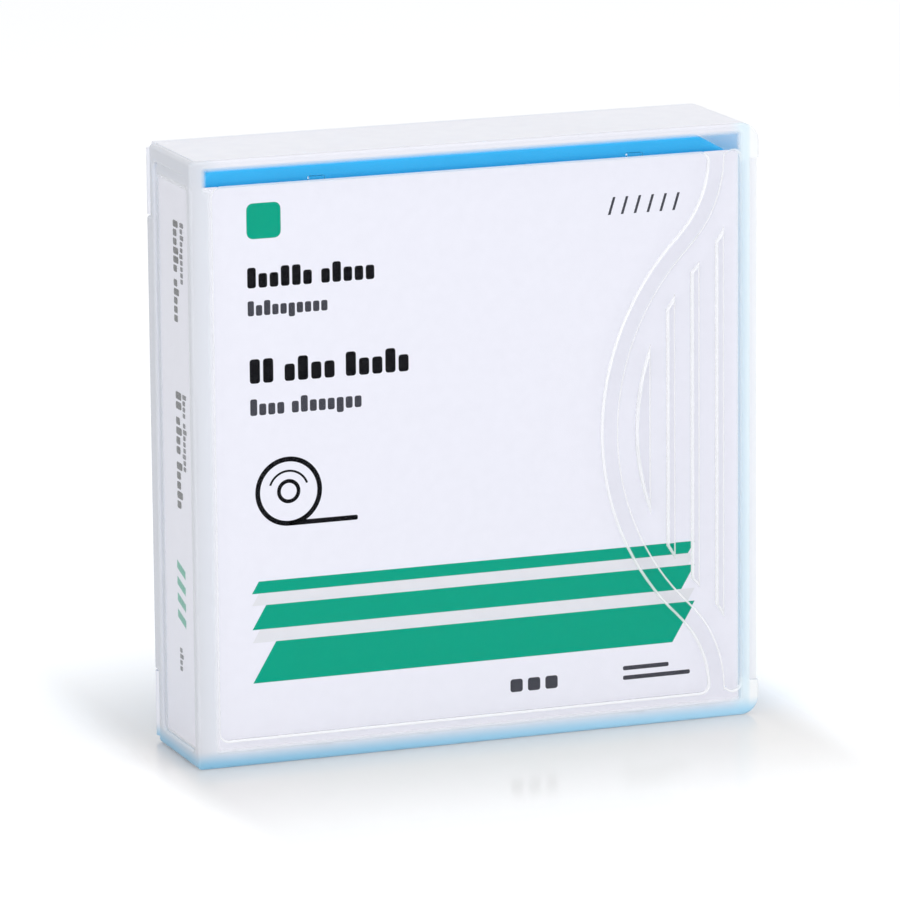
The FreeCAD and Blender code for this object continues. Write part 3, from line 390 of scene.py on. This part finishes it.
def mouldedPlastic(name, colour, gloss=mouldedLook["gloss"],
                   grainDepth=mouldedLook["grainDepth"], tone=mouldedLook["tone"]):
    material, tree = startMaterial(name)
    where = place(tree)
    plastic = addNode(tree, "ShaderNodeBsdfPrincipled",
                      Base_Color=mottled(tree, colour, where, mouldedLook["toneScale"], tone),
                      Roughness=unevenGloss(tree, where, mouldedLook["glossScale"], *gloss),
                      Normal=grain(tree, where, mouldedLook["grainScale"], grainDepth))
    finishMaterial(tree, plastic.outputs[0])
    return material


def drawnMetal(name, colour, gloss=metalLook["gloss"]):
    # Steel with streaks drawn out along one way.
    material, tree = startMaterial(name)
    where = place(tree)
    stretched = addNode(tree, "ShaderNodeMapping", Vector=where,
                        Scale=metalLook["streaks"]).outputs["Vector"]
    metal = addNode(tree, "ShaderNodeBsdfPrincipled", Metallic=1.0,
                    Base_Color=mottled(tree, colour, where, metalLook["toneScale"],
                                       metalLook["tone"]),
                    Roughness=unevenGloss(tree, stretched, 1.0, *gloss),
                    Normal=grain(tree, stretched, 1.0, metalLook["grainDepth"]))
    finishMaterial(tree, metal.outputs[0])
    return material


def coatedPaper(name, colour, gloss=paperLook["gloss"]):
    # Smooth coated paper or ink on it, with fine fibres just felt in the sheen.
    material, tree = startMaterial(name)
    where = place(tree)
    paper = addNode(tree, "ShaderNodeBsdfPrincipled", Specular_IOR_Level=paperLook["sheen"],
                    Base_Color=mottled(tree, colour, where, paperLook["toneScale"],
                                       paperLook["tone"]),
                    Roughness=unevenGloss(tree, where, paperLook["glossScale"], *gloss),
                    Normal=grain(tree, where, paperLook["grainScale"], paperLook["grainDepth"]))
    finishMaterial(tree, paper.outputs[0])
    return material


def woundTape(name):
    # Dark film wound in thousands of turns, seen as fine rings about the reel's axis.
    material, tree = startMaterial(name)
    centred = addNode(tree, "ShaderNodeMapping", Vector=place(tree),
                      Location=(-reelAxis.x, 0, -reelAxis.z)).outputs["Vector"]
    turns = addNode(tree, "ShaderNodeTexWave", {"wave_type": "RINGS", "rings_direction": "Y"},
                    Vector=centred, Scale=tapeLook["turnScale"],
                    Distortion=tapeLook["unevenness"], Detail=tapeLook["detail"]).outputs["Fac"]
    ridges = addNode(tree, "ShaderNodeBump", Height=turns, Distance=tapeLook["depth"],
                     Strength=tapeLook["strength"]).outputs["Normal"]
    film = addNode(tree, "ShaderNodeBsdfPrincipled",
                   Base_Color=blend(tree, turns, *tapeLook["colours"]),
                   Roughness=tapeLook["roughness"], Normal=ridges)
    finishMaterial(tree, film.outputs[0])
    return material


def dress(material, *names):
    # Gives CAD pieces their finish.
    for name in names:
        mesh = nodes[name].data
        mesh.materials.clear()
        mesh.materials.append(material)


shellBlue = mouldedPlastic("shellBlue", rgb(34, 182, 246), (0.34, 0.46), 0.00004, 0.02)
springSteel = drawnMetal("springSteel", rgb(190, 190, 194))

dress(clearPlastic("clearLid"), "case_lid")
dress(milkyPlastic("milkyTray"), "case_tray")
dress(coatedPaper("insertPaper", rgb(243, 241, 250)), "paper_insert")
dress(shellBlue, "upper_shell", "lower_shell")
dress(drawnMetal("zincSteel", rgb(205, 205, 208)), "shell_screws", "clutch_plate")
dress(springSteel, "door_spring", "brake_spring", "pin_springs")
dress(mouldedPlastic("doorGrey", rgb(122, 126, 132)), "access_door")
dress(mouldedPlastic("sliderRed", rgb(214, 62, 44)), "write_protect_slider")
dress(mouldedPlastic("boardGreen", rgb(34, 110, 74), (0.2, 0.3)), "memory_board")
dress(mouldedPlastic("reelGrey", rgb(222, 225, 228)), "reel_hub", "upper_flange")
dress(woundTape("tapeFilm"), "tape_pack", "tape_leader")
dress(mouldedPlastic("brakeWhite", rgb(238, 238, 232)), "brake_button", "release_plate")
dress(drawnMetal("pinSteel", rgb(222, 222, 225), (0.08, 0.16)), "leader_pin")
dress(mouldedPlastic("clipBlack", rgb(46, 47, 50)), "pin_clip")
print("finishes given to the", len(nodes), "pieces")


# Coil springs

doorCoil = {
    "wire": 0.3 * mm,
    "radii": (0.95 * mm, 0.95 * mm),
    "turns": 9,
    "fixedEnd": -5.4 * mm,      # X of the end that stays where it is
    "travel": 16.5 * mm,
}

brakeCoil = {
    "wire": 0.8 * mm,
    "radii": (8.0 * mm, 11.5 * mm),
    "turns": 3.5,
    "fixedEnd": -8.65 * mm,     # Y of the end that stays where it is
    "travel": 1.6 * mm,
}

coilMesh = {
    "steps": 32,    # points along one turn
    "sides": 10,    # points round the wire
}


def makeCoil(name, coil, start, end, spoke, side):
    # Wire of a coil spring. Its middle line is C(t) = start + t * (end - start) + r * outward,
    # with outward = cos(a) * spoke + sin(a) * side, a = 2 * pi * turns * t, and r running
    # between the two radii. Round it P(t, u) = C(t) + wire / 2 * (cos(u) * away + sin(u) * up),
    # where away is outward made square to the line's direction and up is square to both.
    start, end, spoke, side = (np.array(value) for value in (start, end, spoke, side))
    t = np.linspace(0, 1, round(coil["turns"] * coilMesh["steps"]) + 1)[:, None]
    angle = 2 * np.pi * coil["turns"] * t
    outward = np.cos(angle) * spoke + np.sin(angle) * side
    startRadius, endRadius = coil["radii"]
    radius = startRadius + t * (endRadius - startRadius)
    line = start + t * (end - start) + radius * outward
    forward = np.gradient(line, axis=0)
    forward /= np.linalg.norm(forward, axis=1, keepdims=True)
    away = outward - (outward * forward).sum(1, keepdims=True) * forward
    away /= np.linalg.norm(away, axis=1, keepdims=True)
    up = np.cross(forward, away)
    sides = coilMesh["sides"]
    turn = np.arange(sides) * 2 * np.pi / sides
    rings = line[:, None] + coil["wire"] / 2 * (np.cos(turn)[:, None] * away[:, None]
                                                + np.sin(turn)[:, None] * up[:, None])
    points = np.concatenate([rings.reshape(-1, 3), line[[0, -1]]])
    ring = np.arange(sides)
    following = np.roll(ring, -1)
    near = np.arange(len(line) - 1)[:, None] * sides
    far = near + sides
    quads = np.stack([near + ring, near + following, far + following, far + ring], -1)
    final = (len(line) - 1) * sides
    middles = np.full(sides, len(points) - 2)
    caps = np.concatenate([np.stack([middles, following, ring], -1),
                           np.stack([middles + 1, final + ring, final + following], -1)])
    mesh = bpy.data.meshes.new(name)
    mesh.from_pydata(points.tolist(), [], quads.reshape(-1, 4).tolist() + caps.tolist())
    mesh.polygons.foreach_set("use_smooth", [True] * len(mesh.polygons))
    mesh.materials.append(springSteel)
    piece = bpy.data.objects.new(name, mesh)
    bpy.context.scene.collection.objects.link(piece)
    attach(piece, "tray")
    return piece


def makeDoorSpring():
    # It lies along X, made at one length; the real spring is pressed shorter as the door slides
    # open.
    low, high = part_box("door_spring")
    middle = (low + high) / 2
    half = doorCoil["wire"] / 2
    spring = makeCoil("doorSpring", doorCoil, (low.x + half, middle.y, middle.z),
                      (high.x - half, middle.y, middle.z), (0, 0, -1), (0, 1, 0))
    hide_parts("door_spring")
    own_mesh(spring)


def makeBrakeSpring():
    # It stands on the brake button, wide at the upper shell, made at one height; the real spring
    # is pressed flatter as the drive lifts the button.
    low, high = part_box("brake_spring")
    half = brakeCoil["wire"] / 2
    spring = makeCoil("brakeSpring", brakeCoil, (reelAxis.x, high.y - half, reelAxis.z),
                      (reelAxis.x, low.y + half, reelAxis.z), (1, 0, 0), (0, 0, 1))
    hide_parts("brake_spring")
    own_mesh(spring)


makeDoorSpring()
makeBrakeSpring()
print("two coil springs made")


# Print on the insert. Its strips are in millimetres, from the case's spine side on the front or
# from its back on the spine, and up from the floor.

inkLift = 0.01 * mm

blockShape = {
    "width": 0.62,      # share of the writing's size
    "tall": 1.42,       # the same for the height of a tall block
    "hang": 0.3,        # the same for how far a hanging block reaches down
    "space": 0.8,       # share of a block's width
    "step": 1.3,        # the same from one block to the next
    "corner": 0.28,     # the same for the rounded corner
}

frontPrint = {
    "left": 10.8,
    "right": 96.2,
    "stripes": ((14.8, 7.4), (24.6, 4.4), (31.2, 2.2)),  # height from the floor, width
    "lean": 0.6,        # how far a stripe's end leans for each millimetre of its width
    "square": (10.8, 95.4, 6.4, 6.4, 1.2),  # x, height, its two sides, corner radius
    # Lines of writing are a pattern, x, height and size.
    "bold": (("txxttx xtxxx", 10.8, 86.6, 2.6), ("tt xtxx txxtx", 11.0, 69.4, 3.1)),
    "thin": (("txtxxyxxxx", 10.8, 81.6, 1.9), ("txxx xtxxxyxx", 11.0, 63.6, 2.1)),
    "reel": (18.0, 49.4),
    # Inner and outer radius, and for a part of a ring its first and last angle and its points.
    "reelRings": ((5.4, 6.3), (1.5, 2.2), (3.5, 3.9, 20, 160, 25)),
    "reelTape": (18.0, 43.1, 13.0, 0.9, 0.3),
    "ticks": {"x": 79.4, "z": 94.9, "step": 2.5, "count": 6, "shape": (0.5, 3.2, 1.0)},
    "dots": {"x": 60.0, "z": 8.4, "step": 3.4, "count": 3, "shape": (2.4, 2.4, 0.5)},
    "lines": ((82.0, 8.6, 13.2, 0.8, 0.3), (82.0, 10.4, 9.0, 0.8, 0.3)),
}

# X runs downwards here, from the first line's start, and Z from the case's back.
spinePrint = {
    "top": 98.0,        # height where the lines start
    "bold": (("txxttx xtxxx", 0, 13.2, 2.0), ("tt xtxx txxtx", 31, 13.2, 2.2)),
    "thin": (("txtxxyxxxx", 0, 17.0, 1.4), ("txxx xtxxxyxx", 31, 17.0, 1.4),
             ("xtxx", 78, 13.2, 1.4)),
    "stripes": {"x": 62, "z": 12.4, "step": 3.0, "count": 4, "shape": (1.5, 4.6, 1.4)},
}

greenInk = coatedPaper("greenInk", rgb(2, 165, 135), paperLook["inkGloss"])
darkInk = coatedPaper("darkInk", rgb(12, 12, 16), paperLook["inkGloss"])
greyInk = coatedPaper("greyInk", rgb(72, 72, 80), paperLook["inkGloss"])
paleInk = coatedPaper("paleInk", rgb(232, 231, 236), paperLook["inkGloss"])


def ruledStrip(first, second):
    # Points of a strip: P(s, t) = (1 - s) * first(t) + s * second(t), for s of 0 and 1.
    share = np.linspace(0, 1, 2)[:, None, None]
    return (1 - share) * np.asarray(first)[None] + share * np.asarray(second)[None]


def roundedBar(x, z, width, height, radius, count=5):
    # A bar with round ends as a strip between its lower and upper edge. At a distance d inside
    # the corner's centre the edge stands back by radius - sqrt(radius^2 - d^2).
    turn = np.linspace(0, np.pi / 2, count)
    ends = radius * (1 - np.cos(turn))
    back = radius * (1 - np.sin(turn))
    across = np.concatenate([x + ends, x + width - ends[::-1]])
    inset = np.concatenate([back, back[::-1]])
    lower = np.stack([across, z + inset], -1)
    upper = np.stack([across, z + height - inset], -1)
    return ruledStrip(lower, upper)


def ringStrip(x, z, inner, outer, start=0.0, end=360.0, count=49):
    # A ring or part of one: P(s, t) = centre + (inner + s * (outer - inner)) * (cos t, sin t).
    turn = np.radians(np.linspace(start, end, count))
    spoke = np.stack([np.cos(turn), np.sin(turn)], -1)
    centre = np.array((x, z))
    return ruledStrip(centre + inner * spoke, centre + outer * spoke)


def slantedBar(x, z, width, height, lean):
    # A bar whose ends lean by lean over its height.
    lower = np.array([(x, z), (x + width, z)])
    return ruledStrip(lower, lower + (lean, height))


def row(makeStrip, marks):
    # The same strip several times, side by side.
    return [makeStrip(marks["x"] + i * marks["step"], marks["z"], *marks["shape"])
            for i in range(marks["count"])]


def wordBars(pattern, x, z, size):
    # Blocks in place of writing: one for each mark of the pattern, tall for t, low for x, hanging
    # for y, and a gap for a space.
    strips = []
    width = size * blockShape["width"]
    for mark in pattern:
        if mark == " ":
            x += width * blockShape["space"]
            continue
        low = -blockShape["hang"] * size if mark == "y" else 0.0
        high = size * (blockShape["tall"] if mark == "t" else 1.0)
        strips.append(roundedBar(x, z + low, width, high - low, width * blockShape["corner"]))
        x += width * blockShape["step"]
    return strips


def writing(lines):
    return [strip for line in lines for strip in wordBars(*line)]


def upright(strips):
    # Turns strips by a quarter so that they read downwards along the spine:
    # (x, z) -> (z, top - x).
    return [np.stack([strip[..., 1], spinePrint["top"] - strip[..., 0]], -1)[::-1]
            for strip in strips]


def printSheet(name, strips, material, face):
    # Joins strips into one flat piece of ink on the insert's front or spine face.
    points = []
    quads = []
    start = 0
    for strip in strips:
        rows, count = strip.shape[:2]
        points.append(strip.reshape(-1, 2) * mm)
        first = start + np.arange(count - 1)
        quads.append(np.stack([first, first + 1, first + count + 1, first + count], -1))
        start += rows * count
    flat = np.concatenate(points)
    if face == "front":
        level = np.full(len(flat), sheetLow.y - inkLift)
        placed = np.stack([caseLow.x + flat[:, 0], level, flat[:, 1]], -1)
    else:
        level = np.full(len(flat), sheetLow.x - inkLift)
        placed = np.stack([level, caseHigh.y - flat[:, 0], flat[:, 1]], -1)
    mesh = bpy.data.meshes.new(name)
    mesh.from_pydata(placed.tolist(), [], np.concatenate(quads).tolist())
    mesh.materials.append(material)
    piece = bpy.data.objects.new(name, mesh)
    bpy.context.scene.collection.objects.link(piece)
    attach(piece, "lid")


def frontStripe(bottom, width):
    # A slanted bar from the left to the right end of the stripes.
    lean = frontPrint["lean"] * width
    length = frontPrint["right"] - frontPrint["left"] - lean
    return slantedBar(frontPrint["left"], bottom, length, width, lean)


def frontGreen():
    strips = [frontStripe(bottom, width) for bottom, width in frontPrint["stripes"]]
    return strips + [roundedBar(*frontPrint["square"])]


def frontPale():
    # Fills the gaps between the green stripes.
    tops = [bottom + width for bottom, width in frontPrint["stripes"]]
    bottoms = [bottom for bottom, width in frontPrint["stripes"][1:]]
    return [frontStripe(top, bottom - top) for top, bottom in zip(tops, bottoms)]


def frontDark():
    reel = [ringStrip(*frontPrint["reel"], *ring) for ring in frontPrint["reelRings"]]
    return writing(frontPrint["bold"]) + reel + [roundedBar(*frontPrint["reelTape"])]


def frontGrey():
    strips = writing(frontPrint["thin"])
    strips += row(slantedBar, frontPrint["ticks"]) + row(roundedBar, frontPrint["dots"])
    return strips + [roundedBar(*line) for line in frontPrint["lines"]]


printSheet("frontPrintGreen", frontGreen(), greenInk, "front")
printSheet("frontPrintPale", frontPale(), paleInk, "front")
printSheet("frontPrintDark", frontDark(), darkInk, "front")
printSheet("frontPrintGrey", frontGrey(), greyInk, "front")
printSheet("spinePrintGreen", upright(row(slantedBar, spinePrint["stripes"])), greenInk, "spine")
printSheet("spinePrintDark", upright(writing(spinePrint["bold"])), darkInk, "spine")
printSheet("spinePrintGrey", upright(writing(spinePrint["thin"])), greyInk, "spine")
print("print made on the front and the spine")


# Floor, lamps and camera

floorLook = {
    "size": 8.0,
    "matt": (0.93, 0.93, 0.93, 1.0),
    # The polished zone round the case is darker than the matt floor: painted shade, with real
    # reflections on it.
    "polishedShaded": (0.87, 0.85, 0.835, 1.0),
    "gloss": (0.12, 0.16),
    "glossScale": 25.0,
    "fade": 0.085,      # width of the polished zone before and behind the case
    "squeeze": 6.0,     # how many times narrower it is at its sides
    "glow": 0.29,       # painted glow: how much lighter the matt floor shows to the camera alone
}

worldLook = {
    "background": 1.0,
    "fill": 0.62,       # strength of the light from all round
    "fillColour": (0.97, 0.98, 1.0, 1.0),
}

lampAim = (0, 0, 0.05)

lamps = {
    "key": {"at": (-0.45, -1.35, 0.28), "size": (0.8, 0.8), "power": 4.9},
    "strip": {"at": (-1.2, -0.75, 0.2), "size": (0.3, 1.1), "power": 3.2},
    "side": {"at": (1.4, -0.5, 0.9), "size": (0.9, 0.9), "power": 2.8},
    "top": {"at": (0.1, -0.3, 1.6), "size": (1.2, 1.2), "power": 6.0},
}

photoCamera = {
    "azimuth": -20.547,
    "elevation": 12.103,
    "roll": -0.516,
    "distance": 1.24839,
    "aim": (-0.00132, -0.00022, 0.05189),
    "lens": 275.68,     # in mm, as the sensor
    "sensor": 36.0,
    "clip": (0.05, 50.0),
}


def makeFloor():
    mesh = bpy.data.meshes.new("floor")
    half = floorLook["size"] / 2
    corners = [(-half, -half, 0), (half, -half, 0), (half, half, 0), (-half, half, 0)]
    mesh.from_pydata(corners, [], [(0, 1, 2, 3)])
    floor = bpy.data.objects.new("floor", mesh)
    bpy.context.scene.collection.objects.link(floor)
    material, tree = startMaterial("whiteFloor")
    where = place(tree)
    narrow = Vector((floorLook["squeeze"], 1, 1))
    squeezed = addNode(tree, "ShaderNodeMapping", Vector=where, Scale=narrow).outputs["Vector"]
    distance = awayFrom(tree, squeezed, caseLow * narrow, caseHigh * narrow)
    fade = addNode(tree, "ShaderNodeMapRange", {"interpolation_type": "SMOOTHSTEP"},
                   Value=distance, From_Min=0.0, From_Max=floorLook["fade"]).outputs["Result"]
    polish = unevenGloss(tree, where, floorLook["glossScale"], *floorLook["gloss"])
    polishedShaded = addNode(tree, "ShaderNodeBsdfPrincipled", Base_Color=floorLook["polishedShaded"],
                       Roughness=polish)
    matt = addNode(tree, "ShaderNodeBsdfDiffuse", Color=floorLook["matt"])
    board = blendShaders(tree, fade, polishedShaded.outputs[0], matt.outputs[0])
    # The camera alone sees the matt floor glow, so that the zone round the case shows darker:
    # painted shade.
    rays = addNode(tree, "ShaderNodeLightPath")
    lighter = calc(tree, "MULTIPLY", fade, floorLook["glow"])
    seen = calc(tree, "MULTIPLY", rays.outputs["Is Camera Ray"], lighter)
    glow = addNode(tree, "ShaderNodeEmission", Color=white, Strength=seen)
    both = addNode(tree, "ShaderNodeAddShader", i0=board, i1=glow.outputs[0])
    finishMaterial(tree, both.outputs[0])
    mesh.materials.append(material)


def makeWorld():
    # White where it is seen, directly, mirrored or through the plastic, and dimmer as a lamp.
    world = bpy.data.worlds.new("studio")
    bpy.context.scene.world = world
    world.use_nodes = True
    tree = world.node_tree
    tree.nodes.clear()
    rays = addNode(tree, "ShaderNodeLightPath")
    seen = calc(tree, "MAXIMUM", rays.outputs["Is Camera Ray"], rays.outputs["Is Glossy Ray"])
    seen = calc(tree, "MAXIMUM", seen, rays.outputs["Is Transmission Ray"])
    fill = addNode(tree, "ShaderNodeBackground", Color=worldLook["fillColour"],
                   Strength=worldLook["fill"])
    shown = addNode(tree, "ShaderNodeBackground", Color=white, Strength=worldLook["background"])
    mixed = blendShaders(tree, seen, fill.outputs[0], shown.outputs[0])
    addNode(tree, "ShaderNodeOutputWorld", Surface=mixed)


def aimed(location, target):
    # Turns a lamp at location so that it looks at target.
    direction = Vector(target) - Vector(location)
    turn = direction.to_track_quat("-Z", "Y").to_matrix().to_4x4()
    return Matrix.Translation(location) @ turn


def makeLamps():
    for name, values in lamps.items():
        lamp = bpy.data.lights.new(name, "AREA")
        lamp.shape = "RECTANGLE"
        lamp.size, lamp.size_y = values["size"]
        lamp.energy = values["power"]
        holder = bpy.data.objects.new(name, lamp)
        bpy.context.scene.collection.objects.link(holder)
        holder.matrix_world = aimed(values["at"], lampAim)


def makeCamera():
    azimuth, elevation, roll = (math.radians(photoCamera[key])
                                for key in ("azimuth", "elevation", "roll"))
    back = Vector((math.sin(azimuth) * math.cos(elevation),
                   -math.cos(azimuth) * math.cos(elevation), math.sin(elevation)))
    level = Vector((math.cos(azimuth), math.sin(azimuth), 0))
    up = back.cross(level)
    across = math.cos(roll) * level + math.sin(roll) * up
    top = math.cos(roll) * up - math.sin(roll) * level
    camera = bpy.data.cameras.new("camera")
    camera.sensor_width = photoCamera["sensor"]
    camera.lens = photoCamera["lens"]
    camera.clip_start, camera.clip_end = photoCamera["clip"]
    holder = bpy.data.objects.new("camera", camera)
    bpy.context.scene.collection.objects.link(holder)
    turn = Matrix((across, top, back)).transposed().to_4x4()
    standpoint = Vector(photoCamera["aim"]) + photoCamera["distance"] * back
    holder.matrix_world = Matrix.Translation(standpoint) @ turn
    bpy.context.scene.camera = holder


makeFloor()
makeWorld()
makeLamps()
makeCamera()
bpy.context.scene.view_settings.view_transform = "Standard"
print("floor, lamps and camera set")
